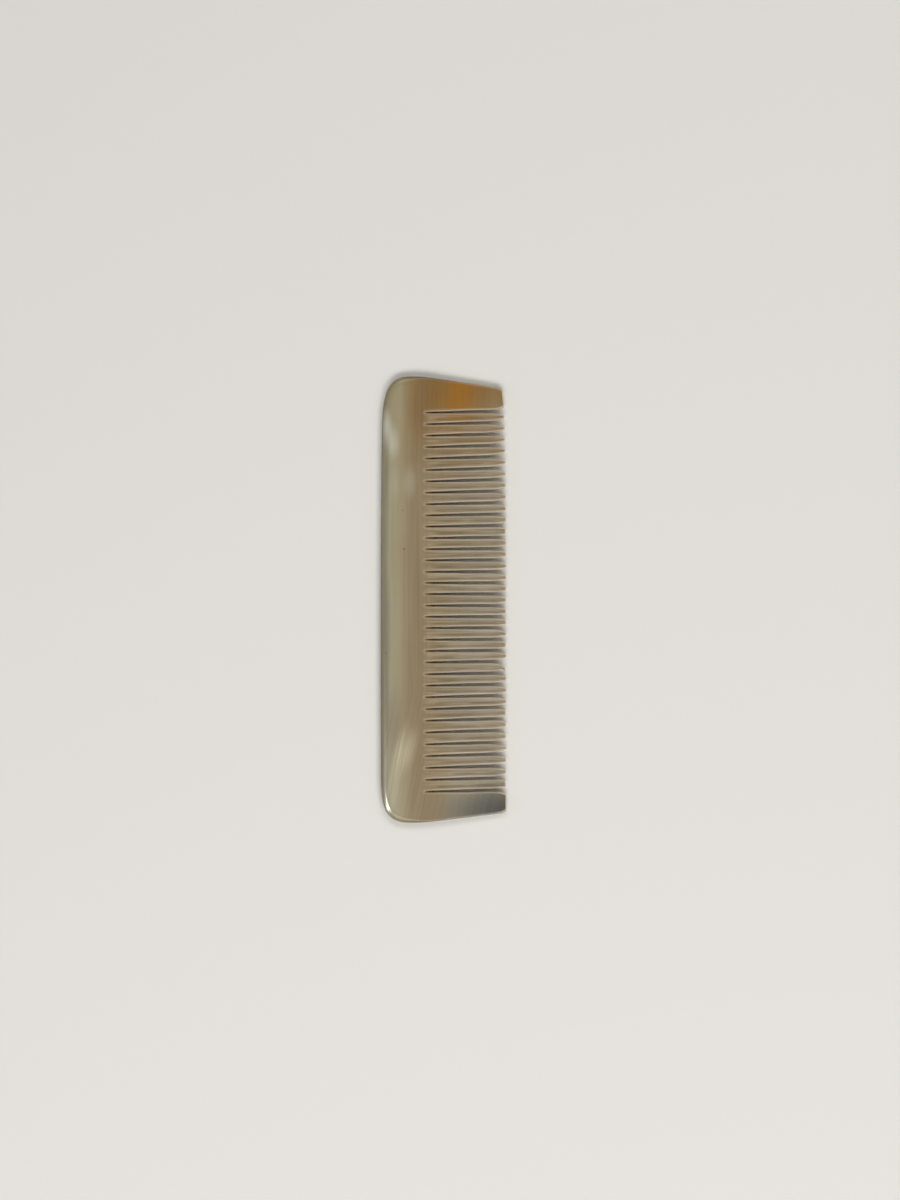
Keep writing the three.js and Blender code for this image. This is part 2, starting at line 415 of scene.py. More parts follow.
@dataclass
class CombBody:
    """The comb's one closed surface: two flat sheets joined by a rounded wall round the outline."""

    nodes: dict[str, bpy.types.Object]
    rim_light_and_core: RimLightAndCore = RimLightAndCore()
    thickness: float = 3.4 * MM
    tip_thickness: float = 2.1 * MM
    shift_length: float = 6.0 * MM
    hook_length: float = 2.6 * MM
    hook_drop: float = 0.60 * MM
    hook_scoop: float = 0.22 * MM
    nose_turn: float = math.radians(70)
    corner_length: float = 2.2 * MM
    corner_in: float = 0.95 * MM
    end_round_length: float = 3.6 * MM
    end_round_in: float = 1.15 * MM
    first_corner_short: float = 0.35 * MM
    tooth_round: float = 0.46 * MM
    point_round_loss: float = 0.35
    point_round_length: float = 4 * MM
    most_round: float = 0.22
    back_round: float = 2.2 * MM
    end_round: float = 0.5 * MM
    back_round_fade: tuple[float, float] = (3 * MM, 16 * MM)
    round_drop: float = 0.54
    least_drop: float = 0.12 * MM
    even_out: int = 3
    root_crowding: float = 0.3
    straight_columns: int = 26
    point_columns: int = 13
    fine_cells: int = 7
    end_cells: int = 16
    cap_cells: int = 6
    back_columns: int = 26
    corner_cut: float = 2.8 * MM
    nose_power: float = 6.0
    arc_steps: int = 5
    wall_steps: int = 3
    row: ToothRow = field(init=False)
    edge: PlateEdge = field(init=False)

    def __post_init__(self) -> None:
        """Sets the plan out on the frame."""
        low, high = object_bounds()
        self.row = ToothRow(self.nodes)
        self.edge = PlateEdge(low, high)

    # Plan ------------------------------------------------------------------------------------

    def _straight(self, root: float, shoulder: float) -> np.ndarray:
        """Places along a flank from the root to a shoulder, a little closer together at the root.

        Args:
            root: The x of the root.
            shoulder: The x of the shoulder, which is left out.

        Returns:
            The x of each place.
        """
        t = np.linspace(0.0, 1.0, self.straight_columns + 1)[:-1]
        share = (1 - self.root_crowding) * t + self.root_crowding * t * t
        return root + (shoulder - root) * share

    def _fine_tooth(self, tooth: int, root: float) -> Flanks:
        """The outline of a fine tooth: its two flanks and the nose between them.

        Each flank keeps to its slot's edge as far as the shoulder. From there both close in on the
        apex by the cosine of a turn, raised to the power that the tip's shape gives, while x
        advances with its sine.

        Args:
            tooth: The tooth's number, from 1.
            root: Where its flanks start.

        Returns:
            The upper flank, the nose and the lower flank. The flanks run outwards.
        """
        power, shift, cut, point = TIP_SHAPES.get(tooth, TipShape.ROUND).value
        tip, rise, point = self.row.tip_x[tooth] - cut * MM, shift * MM, point * MM
        straight = self._straight(root, tip - point)
        turn = np.linspace(0.0, self.nose_turn, self.point_columns + 1)
        x = np.concatenate([straight, tip - point * (1 - np.sin(turn))])
        width = np.concatenate([np.ones_like(straight), np.cos(turn) ** power])
        flanks = [self._closing(tooth, x, width, np.full_like(x, side), rise) for side in (1, -1)]
        turn = np.linspace(self.nose_turn, math.pi - self.nose_turn, self.fine_cells + 1)
        width, side = np.abs(np.cos(turn)) ** power, np.where(turn < math.pi / 2, 1, -1)
        nose = self._closing(tooth, tip - point * (1 - np.sin(turn)), width, side, rise)
        if TIP_SHAPES.get(tooth) is TipShape.HOOKED:
            flanks = [self._bent(flanks[0], tip, 0.0), self._bent(flanks[1], tip, self.hook_scoop)]
            nose = self._bent(nose, tip, 0.0)
        return flanks[0], nose, flanks[1]

    def _closing(
        self, tooth: int, x: np.ndarray, width: np.ndarray, side: np.ndarray, rise: float
    ) -> np.ndarray:
        """Points of a tooth's outline: the apex line plus a share of the way to the flank's line.

        Args:
            tooth: The tooth's number.
            x: Where along the tooth.
            width: The share of the flank's distance that is kept there.
            side: 1 on the upper flank and -1 on the lower.
            rise: How far the apex is moved sideways.

        Returns:
            Points shaped (n, 2).
        """
        above = self.row.middle(tooth - 1, x) - self.row.half_width(x)
        below = self.row.middle(tooth, x) + self.row.half_width(x)
        tip = self.row.tip_x[tooth]
        apex = (above + below) / 2 + rise * smoothstep(tip - self.shift_length, tip, x)
        flank = np.where(side > 0, above, below)
        return np.stack([x, apex + (flank - apex) * width], axis=1)

    def _bent(self, points: np.ndarray, tip: float, scoop: float) -> np.ndarray:
        """Bends a tooth's last stretch down into a small hook, as a chipped and refiled tip is.

        Everything past the bend moves down with the square of its distance past it. The lower flank
        is also scooped out just before its end, by the square of a sine.

        Args:
            points: Part of the tooth's outline.
            tip: Where the tooth ends.
            scoop: How deep the outline is scooped out.

        Returns:
            The bent points.
        """
        t = np.clip((points[:, 0] - tip + self.hook_length) / self.hook_length, 0.0, 1.0)
        drop = self.hook_drop * t * t - scoop * np.sin(np.pi * t) ** 2
        return np.stack([points[:, 0], points[:, 1] - drop], axis=1)

    def _end_tooth(self, side: int, root: float) -> Flanks:
        """The outline of an end tooth: the comb's sloping end, the cut tip and the sawn flank.

        Both corners are quarter ellipses, and the first end's outer one stops a little short.

        Args:
            side: 1 for the first end and -1 for the last.
            root: Where its flanks start.

        Returns:
            The outer flank, the tip and the sawn flank. The flanks run outwards.
        """
        tooth, slot = (0, 0) if side > 0 else (FINE_TEETH + 1, FINE_TEETH)
        tip = float(self.row.tip_x[tooth])
        outer_tip = tip - (self.first_corner_short if side > 0 else 0.0)
        turn = np.linspace(0.0, math.pi / 2, self.point_columns + 1)
        x = self._straight(root, outer_tip - self.corner_length)
        along = np.concatenate([x, outer_tip - self.corner_length * (1 - np.sin(turn))])
        outer_y = self.edge.end_y(along, side)
        outer_y[len(x):] -= side * self.corner_in * (1 - np.cos(turn))
        outer = np.stack([along, outer_y], axis=1)
        x = self._straight(root, tip - self.end_round_length)
        along = np.concatenate([x, tip - self.end_round_length * (1 - np.sin(turn))])
        inner_y = self.row.middle(slot, along) + side * self.row.half_width(along)
        inner_y[len(x):] += side * self.end_round_in * (1 - np.cos(turn))
        inner = np.stack([along, inner_y], axis=1)
        share = np.linspace(0.0, 1.0, self.end_cells + 1)[:, None]
        tip_edge = outer[-1] + (inner[-1] - outer[-1]) * share
        return outer, tip_edge, inner

    def _teeth(self, root: float) -> list[Flanks]:
        """Every tooth's upper flank, nose and lower flank, for flanks that start at root.

        Args:
            root: The x of the root.

        Returns:
            The teeth, the one at the first end first.
        """
        outer, tip, inner = self._end_tooth(1, root)
        teeth = [(outer, tip, inner)]
        teeth += [self._fine_tooth(number, root) for number in range(1, FINE_TEETH + 1)]
        outer, tip, inner = self._end_tooth(-1, root)
        teeth.append((inner, tip[::-1], outer))
        return teeth

    def _cap(self, slot: int, root: float) -> np.ndarray:
        """The root of a slot between its flanks: half a circle as wide as the kerf, ends left out.

        Args:
            slot: The slot's number, from 0.
            root: The x where its flanks start.

        Returns:
            Points shaped (n, 2), from the flank above to the one below.
        """
        turn = np.linspace(0.0, math.pi, self.cap_cells + 1)[1:-1]
        radius = float(self.row.half_width(np.array(root)))
        centre = float(self.row.middle(slot, np.array(root)))
        return np.stack([root - radius * np.sin(turn), centre + radius * np.cos(turn)], axis=1)

    def _row_places(self, teeth: list[Flanks]) -> np.ndarray:
        """The y of every row of the back's grid at the roots of the teeth, first end first.

        Args:
            teeth: The flanks and nose of every tooth.

        Returns:
            One y for each row.
        """
        runs = []
        for number, (upper, nose, lower) in enumerate(teeth):
            runs.append(np.linspace(upper[0, 1], lower[0, 1], len(nose)))
            if number < len(teeth) - 1:
                below = teeth[number + 1][0][0, 1]
                runs.append(np.linspace(lower[0, 1], below, self.cap_cells + 1)[1:-1])
        return np.concatenate(runs)

    def _back_edges(self, root: float, rows: np.ndarray) -> Flanks:
        """The back's outer edges: its first end, its last end and the back between them.

        The three meet at the corner cuts, where the outline has come in a little from the back.

        Args:
            root: Where the ends stop.
            rows: The y of every row of the back's grid at the roots of the teeth.

        Returns:
            The first end and the last one, both outwards, and a point of the back for each row.
        """
        corner_x = self.edge.low.x + self.corner_cut
        paths = {side: self.edge.half(side, root) for side in (1, -1)}
        cuts = {side: int(np.argmax(path[:, 0] > corner_x)) for side, path in paths.items()}
        shares = np.linspace(0.0, 1.0, self.back_columns + 1)
        first_end = resample(paths[1][cuts[1]:], shares)
        last_end = resample(paths[-1][cuts[-1]:], shares)
        back_y = np.interp(rows, [rows[-1], rows[0]], [last_end[0, 1], first_end[0, 1]])
        back = np.concatenate([paths[-1][cuts[-1]::-1], paths[1][1:cuts[1] + 1]])
        return first_end, last_end, np.stack([np.interp(back_y, back[:, 1], back[:, 0]), back_y], axis=1)

    def _outline(self, root: float) -> tuple[np.ndarray, Parts]:
        """The comb's whole outline, clockwise from the corner of the first end, and where its parts lie.

        Args:
            root: Where the slots' roots stand.

        Returns:
            The points, shaped (n, 2), and the numbers of the points along each part.
        """
        teeth = self._teeth(root)
        first_end, last_end, back = self._back_edges(root, self._row_places(teeth))
        points, numbers, caps, count = [first_end[:-1]], [], [], self.back_columns
        for number, (upper, nose, lower) in enumerate(teeth):
            up = np.arange(len(upper)) + count
            across = np.arange(len(nose)) + up[-1]
            low = np.arange(len(lower))[::-1] + across[-1]
            points += [upper, nose[1:-1], lower[::-1]]
            numbers.append((up, across, low))
            count = low[0] + 1
            if number < len(teeth) - 1:
                points.append(self._cap(number, root))
                caps.append(np.arange(self.cap_cells + 1) + low[0])
                count += self.cap_cells - 1
        points += [last_end[::-1][1:], back[::-1][1:-1]]
        first = np.arange(self.back_columns + 1)
        last = first[::-1] + count - 1
        total = sum(len(part) for part in points)
        along_back = np.concatenate([[0], np.arange(total - 1, last[0] - 1, -1)])
        return np.concatenate(points), Parts(first, last, along_back, numbers, caps)

    # Section ---------------------------------------------------------------------------------

    def top(self, x: np.ndarray) -> np.ndarray:
        """The upper face's height at x: the plate is a wedge, thinner by an even slope to the tips."""
        share = (x - self.edge.low.x) / (self.edge.high.x - self.edge.low.x)
        return self.thickness + (self.tip_thickness - self.thickness) * share

    def _rounding(self, outline: np.ndarray, parts: Parts) -> np.ndarray:
        """How far the rounding reaches in from each point of the outline.

        It is even along the teeth, less round their points, where it never takes more than a share
        of the tooth's width, and grows towards the back. A running mean evens out its steps.

        Args:
            outline: The outline's points.
            parts: The numbers of the points along each part.

        Returns:
            One reach for each point.
        """
        x, back_x, tip_x = outline[:, 0], self.edge.low.x, self.edge.high.x
        fade = 1.0 - smoothstep(back_x + self.back_round_fade[0], back_x + self.back_round_fade[1], x)
        reach = self.end_round + (self.back_round - self.end_round) * fade
        inner = self._inner(len(x), parts)
        point = smoothstep(tip_x - self.point_round_length, tip_x, x)
        reach[inner] = self.tooth_round * (1.0 - self.point_round_loss * point[inner])
        for up, across, low in parts.teeth:
            most = self.most_round * np.linalg.norm(outline[up] - outline[low], axis=1)
            reach[up], reach[low] = np.minimum(reach[up], most), np.minimum(reach[low], most)
            reach[across] = np.minimum(reach[across], most[-1])
        side = self.even_out
        window = np.ones(2 * side + 1) / (2 * side + 1)
        return np.convolve(np.concatenate([reach[-side:], reach, reach[:side]]), window, "valid")

    @staticmethod
    def _inner(count: int, parts: Parts) -> np.ndarray:
        """Which points of the outline lie on sawn or filed edges: all but the back and the two ends.

        Args:
            count: How many points the outline has.
            parts: The numbers of the points along each part.

        Returns:
            One truth value for each point.
        """
        inner = np.zeros(count, bool)
        last = len(parts.teeth) - 1
        for number, (up, across, low) in enumerate(parts.teeth):
            inner[across] = True
            inner[up] |= number > 0
            inner[low] |= number < last
        for cap in parts.caps:
            inner[cap] = True
        return inner

    @staticmethod
    def _outward(outline: np.ndarray) -> np.ndarray:
        """The outward direction at each point of a clockwise outline: its mean tangent, turned left.

        Args:
            outline: The outline's points, shaped (n, 2).

        Returns:
            One direction of unit length for each point.
        """
        step = np.roll(outline, -1, axis=0) - outline
        step /= np.linalg.norm(step, axis=1, keepdims=True)
        tangent = step + np.roll(step, 1, axis=0)
        tangent /= np.linalg.norm(tangent, axis=1, keepdims=True)
        return np.stack([-tangent[:, 1], tangent[:, 0]], axis=1)

    def _wall(self, upper: np.ndarray, lower: np.ndarray, parts: Parts) -> np.ndarray:
        """The rounded wall round the outline, from the upper face's rim to the lower one's.

        Each arc is a quarter ellipse: in by the reach times one less the sine of the turn, and down
        by the drop times one less its cosine. Between the arcs the wall runs straight, from the
        upper outline to the lower one, which gives the slots their sloping roots.

        Args:
            upper: The outline on the upper face.
            lower: The outline on the lower face, point for point.
            parts: The numbers of the points along each part.

        Returns:
            Points shaped (levels, n, 3).
        """
        reach = self._rounding(upper, parts)
        drop = self.least_drop + self.round_drop * reach
        turns = np.linspace(0.0, math.pi / 2, self.arc_steps + 1)
        top = self.top(upper[:, 0])
        levels = [(reach * (1 - math.sin(t)), top - drop * (1 - math.cos(t))) for t in turns]
        for share in np.linspace(0.0, 1.0, self.wall_steps + 1)[1:-1]:
            levels.append((np.zeros_like(reach), (top - drop) + (drop - (top - drop)) * share))
        levels += [(reach * (1 - math.sin(t)), drop * (1 - math.cos(t))) for t in turns[::-1]]
        out_upper, out_lower = self._outward(upper), self._outward(lower)
        wall = []
        for inset, height in levels:
            share = (height / top)[:, None]
            place = lower + (upper - lower) * share
            outward = out_lower + (out_upper - out_lower) * share
            place = place - outward * inset[:, None]
            height = height * self.top(place[:, 0]) / top
            wall.append(np.concatenate([place, height[:, None]], axis=1))
        return np.array(wall)

    def _sheet(self, rim: np.ndarray, parts: Parts) -> list[np.ndarray]:
        """The grids that fill a face inside its rim: one for the back and one for each tooth.

        Args:
            rim: The wall's first or last level.
            parts: The numbers of the points along each part.

        Returns:
            Grids shaped (rows, columns, 3), the back's first.
        """
        teeth, right = [], []
        for number, (up, across, low) in enumerate(parts.teeth):
            share = np.linspace(0.0, 1.0, len(across))[:, None]
            root = rim[up[0]] * (1 - share) + rim[low[0]] * share
            root[-1] = rim[low[0]]
            teeth.append(coons(root, rim[across], rim[up], rim[low], self.nose_power))
            right.append(root)
            if number < len(parts.caps):
                right.append(rim[parts.caps[number][1:-1]])
        ends = rim[parts.first_end], rim[parts.last_end]
        return [coons(rim[parts.back], np.concatenate(right), *ends), *teeth]

    # Mesh ------------------------------------------------------------------------------------

    def _wall_masks(self, wall: np.ndarray, inner: np.ndarray) -> np.ndarray:
        """The masks of the wall's points, in the order of MASKS.

        The rim masks put a painted highlight on the sawn rims and painted shade on the outer rims.
        They grow over the first part of the rounding, and hold all of it at the tips. The outer rim
        counts as a sawn one towards the tips of the end teeth, which were filed as well, so it takes the
        painted highlight there.
        The kerf's mask fades along the flanks from the slots' roots; it paints amber glow and shade
        there.

        Args:
            wall: The wall's points, shaped (levels, n, 3).
            inner: Which points of the outline are sawn or filed.

        Returns:
            The masks, shaped (levels, n, 4).
        """
        rim_light_and_core, tips = self.rim_light_and_core, self.edge.high.x
        levels = np.arange(wall.shape[0])
        depth = np.minimum(levels, levels[::-1]) / self.arc_steps
        x = wall[..., 0]
        filed = smoothstep(tips - rim_light_and_core.filed_ends[0], tips - rim_light_and_core.filed_ends[1], x)
        point = smoothstep(tips - rim_light_and_core.filed_points[0], tips - rim_light_and_core.filed_points[1], x)
        rim = np.maximum(smoothstep(0.0, rim_light_and_core.rim_depth, depth)[:, None], point)
        rim = rim_light_and_core.rim_least + (1 - rim_light_and_core.rim_least) * rim
        sawn = np.where(inner, rim_light_and_core.sawn_share + (1 - rim_light_and_core.sawn_share) * point, rim_light_and_core.sawn_share * filed)
        near_root = 1.0 - smoothstep(*rim_light_and_core.root_glow_shade_reach, x - self.row.root_x)
        kerf = near_root * inner * smoothstep(0.0, rim_light_and_core.root_glow_shade_depth, depth)[:, None]
        # The first mask paints a highlight on the sawn rims, the second paints shade on the outer rims,
        # and the kerf mask paints amber glow and shade in the slots' roots.
        return np.stack([rim * sawn, rim * (1 - sawn), kerf, np.zeros_like(kerf)], axis=-1)

    def _sheet_masks(self, grid: np.ndarray, is_tooth: bool) -> np.ndarray:
        """The masks of a face's grid: only a fine tooth has one, a darker line along its core.

        The line is a bell curve across the tooth, a little past its middle, and fades at both ends.

        Args:
            grid: The grid's points, shaped (rows, columns, 3).
            is_tooth: Whether the grid is a fine tooth's.

        Returns:
            The masks, shaped (rows * columns, 4).
        """
        masks = np.zeros((*grid.shape[:2], len(MASKS)))
        if is_tooth:
            rim_light_and_core, root, tips = self.rim_light_and_core, self.row.root_x, self.edge.high.x
            across = np.linspace(0.0, 1.0, grid.shape[0])[:, None]
            along = grid[..., 0]
            start = smoothstep(root + rim_light_and_core.core_start[0], root + rim_light_and_core.core_start[1], along)
            end = 1.0 - smoothstep(tips - rim_light_and_core.core_end[0], tips - rim_light_and_core.core_end[1], along)
            line = np.exp(-(((across - rim_light_and_core.core_place) / rim_light_and_core.core_width) ** 2))
            masks[..., MASKS.index("core")] = line * start * end
        return masks.reshape(-1, len(MASKS))

    def build(self) -> bpy.types.Object:
        """Makes the comb's surface: the wall and both faces, joined where they share points.

        Returns:
            The comb, at the origin, riding on the frame's one body in place of all its nodes.
        """
        upper, parts = self._outline(self.row.root_x)
        lower, _ = self._outline(self.row.root_x + self.row.run_out)
        wall = self._wall(upper, lower, parts)
        masks = self._wall_masks(wall, self._inner(len(upper), parts))
        closed = np.concatenate([wall, wall[:, :1]], axis=1)
        masks = [np.concatenate([masks, masks[:, :1]], axis=1).reshape(-1, len(MASKS))]
        places, faces = [closed.reshape(-1, 3)], [grid_faces(*closed.shape[:2], 0, True)]
        count = len(places[0])
        for rim, flip in ((wall[0], False), (wall[-1], True)):
            back, *teeth = self._sheet(rim, parts)
            for number, grid in enumerate((back, *teeth)):
                places.append(grid.reshape(-1, 3))
                faces.append(grid_faces(*grid.shape[:2], count, flip))
                masks.append(self._sheet_masks(grid, 1 < number < len(teeth)))
                count += len(places[-1])
        return self._object(np.concatenate(places), np.concatenate(faces), np.concatenate(masks))

    def _object(self, places: np.ndarray, faces: np.ndarray, masks: np.ndarray) -> bpy.types.Object:
        """Welds the points that lie on each other and makes the object.

        Args:
            places: All points, shaped (n, 3).
            faces: Their four-sided faces.
            masks: The masks for each point, in the order of MASKS.

        Returns:
            The comb's object, with its masks as attributes.
        """
        rounded = np.round(places, WELD_DIGITS)
        _, first, number = np.unique(rounded, axis=0, return_index=True, return_inverse=True)
        number = number.ravel()
        welded = np.zeros((len(first), masks.shape[1]))
        np.maximum.at(welded, number, masks)
        mesh = bpy.data.meshes.new("horn_comb")
        mesh.from_pydata(places[first].tolist(), [], number[faces].tolist())
        for column, name in enumerate(MASKS):
            layer = mesh.attributes.new(name, "FLOAT", "POINT")
            layer.data.foreach_set("value", welded[:, column].astype(np.float32))
        mesh.polygons.foreach_set("use_smooth", np.ones(len(mesh.polygons), bool))
        mesh.validate()
        mesh.update()
        comb = bpy.data.objects.new("horn_comb", mesh)
        bpy.context.scene.collection.objects.link(comb)
        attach(comb, "root")
        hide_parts("back", *self.row.names)
        return comb


# ---------------------------------------------------------------------------------------------
# The horn
# ---------------------------------------------------------------------------------------------


Socket = bpy.types.NodeSocket
Colour = tuple[float, float, float, float]
Number = float | Socket
Shade = Colour | Socket
Inputs = dict[str | int, Number | tuple[float, ...]]


def srgb(red: int, green: int, blue: int) -> Colour:
    """A colour from its usual 0 to 255 numbers, made linear with the sRGB curve.

    Args:
        red: From 0 to 255.
        green: From 0 to 255.
        blue: From 0 to 255.

    Returns:
        The colour with full opacity.
    """
    shares = [channel / 255 for channel in (red, green, blue)]
    linear = [s / 12.92 if s <= 0.04045 else ((s + 0.055) / 1.055) ** 2.4 for s in shares]
    return (*linear, 1.0)


class Graph:
    """A node tree with short ways to add the nodes that the horn needs."""

    def __init__(self, tree: bpy.types.NodeTree) -> None:
        """Keeps the tree."""
        self.tree = tree

    def add(
        self, kind: str, inputs: Inputs | None = None, **settings: str | bpy.types.NodeTree
    ) -> bpy.types.Node:
        """Adds a node.

        Args:
            kind: The node's type, without the leading ShaderNode.
            inputs: Values or sockets for its inputs, by name or number.
            settings: Its other properties.

        Returns:
            The node.
        """
        node = self.tree.nodes.new(kind if kind.startswith("Node") else f"ShaderNode{kind}")
        for name, value in settings.items():
            setattr(node, name, value)
        for key, value in (inputs or {}).items():
            if isinstance(value, Socket):
                self.tree.links.new(value, node.inputs[key])
            else:
                node.inputs[key].default_value = value
        return node

    def math(self, operation: str, *values: Number) -> Socket:
        """The result of one step of arithmetic on numbers or sockets."""
        return self.add("Math", dict(enumerate(values)), operation=operation).outputs[0]

    def blend(self, share: Number, first: Shade, second: Shade) -> Socket:
        """The first colour, turned towards the second by a share."""
        return self.add("Mix", {0: share, 6: first, 7: second}, data_type="RGBA").outputs[2]

    def ramp(self, value: Socket, stops: list[tuple[float, Colour]]) -> Socket:
        """A colour that runs through the stops as the value goes from 0 to 1.

        Args:
            value: The value.
            stops: The places and colours, in rising order.

        Returns:
            The ramp's colour.
        """
        node = self.add("ValToRGB", {0: value})
        elements = node.color_ramp.elements
        elements.remove(elements[-1])
        elements[0].position, elements[0].color = stops[0]
        for place, colour in stops[1:]:
            elements.new(place).color = colour
        return node.outputs[0]


def group(
    name: str, inputs: dict[str, tuple[str, float | tuple[float, ...] | None]], outputs: dict[str, str]
) -> tuple[Graph, bpy.types.Node, bpy.types.Node]:
    """An empty node group with its sockets.

    Args:
        name: The group's name.
        inputs: The kind of each input, as in NodeSocketFloat, and its usual value.
        outputs: The kind of each output.

    Returns:
        The group's graph, its input node and its output node.
    """
    tree = bpy.data.node_groups.new(name, "ShaderNodeTree")
    for label, (kind, value) in inputs.items():
        socket = tree.interface.new_socket(label, in_out="INPUT", socket_type=kind)
        if value is not None:
            socket.default_value = value
    for label, kind in outputs.items():
        tree.interface.new_socket(label, in_out="OUTPUT", socket_type=kind)
    graph = Graph(tree)
    return graph, graph.add("NodeGroupInput"), graph.add("NodeGroupOutput")


def soft_patch_group() -> bpy.types.NodeTree:
    """A patch that is 1 in its middle and fades to 0 at its reach, an ellipse in plan.

    The mask falls with the distance from the centre, each axis divided by its own reach.

    Returns:
        The group, which gives a mask.
    """
    graph, given, result = group(
        "soft_patch",
        {"Place": ("NodeSocketVector", None), "Centre": ("NodeSocketVector", (0, 0, 0)),
         "Reach": ("NodeSocketVector", (1, 1, 1))},
        {"Mask": "NodeSocketFloat"},
    )
    away = graph.add("VectorMath", {0: given.outputs[0], 1: given.outputs[1]}, operation="SUBTRACT")
    scaled = graph.add("VectorMath", {0: away.outputs[0], 1: given.outputs[2]}, operation="DIVIDE")
    distance = graph.add("VectorMath", {0: scaled.outputs[0]}, operation="LENGTH").outputs["Value"]
    inputs = {"Value": distance, "From Min": 1.0, "From Max": 0.0, "To Min": 0.0, "To Max": 1.0}
    fade = graph.add("MapRange", inputs, interpolation_type="SMOOTHSTEP")
    graph.tree.links.new(fade.outputs[0], result.inputs[0])
    return graph.tree


def horn_layers_group() -> bpy.types.NodeTree:
    """Long fine layers of growth: noise that is drawn out along one direction.

    The place is multiplied by a stretch, so a small number along an axis draws the layers out
    along it. The value is spread so that it runs from 0 to 1.

    Returns:
        The group, which gives a value.
    """
    graph, given, result = group(
        "horn_layers",
        {"Place": ("NodeSocketVector", None), "Stretch": ("NodeSocketVector", (1, 1, 1)),
         "Detail": ("NodeSocketFloat", 3.0), "Low": ("NodeSocketFloat", 0.35),
         "High": ("NodeSocketFloat", 0.65)},
        {"Value": "NodeSocketFloat"},
    )
    placed = graph.add("VectorMath", {0: given.outputs[0], 1: given.outputs[1]}, operation="MULTIPLY")
    inputs = {"Vector": placed.outputs[0], "Scale": 1.0, "Detail": given.outputs[2], "Roughness": 0.55}
    noise = graph.add("TexNoise", inputs)
    inputs = {"Value": noise.outputs[0], "From Min": given.outputs[3], "From Max": given.outputs[4]}
    spread = graph.add("MapRange", inputs, interpolation_type="SMOOTHSTEP")
    graph.tree.links.new(spread.outputs[0], result.inputs[0])
    return graph.tree


class Tone(Enum):
    """The horn's tones: its layers, clouds and stains, with a painted reflection in its pale cloud,
    and then the painted highlight and shade of its rims, the painted amber glow and shade of its
    roots, and its fine lines.
    """

    # Bluish white: a pale cloud with a painted reflection of a soft light in it.
    PEARL_REFLECTION = srgb(200, 201, 190)
    SILK = srgb(190, 179, 154)
    IVORY = srgb(176, 170, 148)
    CREAM = srgb(160, 155, 131)
    FAWN = srgb(156, 144, 114)
    STRAW = srgb(143, 127, 98)
    SAND = srgb(137, 121, 93)
    TAUPE = srgb(139, 127, 108)
    FOG = srgb(149, 138, 121)
    MIST = srgb(128, 124, 107)
    OLIVE = srgb(130, 126, 106)
    HONEY = srgb(136, 109, 66)
    UMBER = srgb(133, 99, 50)
    BROWN = srgb(122, 90, 44)
    AMBER = srgb(150, 101, 20)
    SLATE = srgb(66, 68, 70)
    # Pale filed lines on the teeth, and the painted highlight on the sawn and filed rims.
    FILED_LINE_AND_RIM_HIGHLIGHT = srgb(212, 198, 175)
    # Painted shade on the outer rims of the back and the ends.
    EDGE_SHADE = srgb(116, 102, 72)
    # Painted amber glow and shade in the slots' roots.
    ROOT_GLOW_SHADE = srgb(126, 90, 42)
    CORE = srgb(108, 92, 66)
    SHADE = srgb(122, 107, 80)
    MILK = srgb(176, 168, 144)
    SPECK = srgb(92, 80, 56)


@dataclass(frozen=True)
class Patch:
    """A soft stain or cloud in the horn, an ellipse in plan. Its sizes are in millimetres."""

    centre: tuple[float, float]
    reach: tuple[float, float]
    tone: Tone
    strength: float


@dataclass(frozen=True)
class Layers:
    """Long layers of noise in the horn, and the tone that they bring in.

    A small stretch along an axis draws the layers out along it. Noise below the first number of the
    spread counts as none, and noise above the second as all.
    """

    stretch: tuple[float, float, float]
    spread: tuple[float, float]
    tone: Tone
    strength: float
    detail: float = 3.0
    offset: float = 0.0


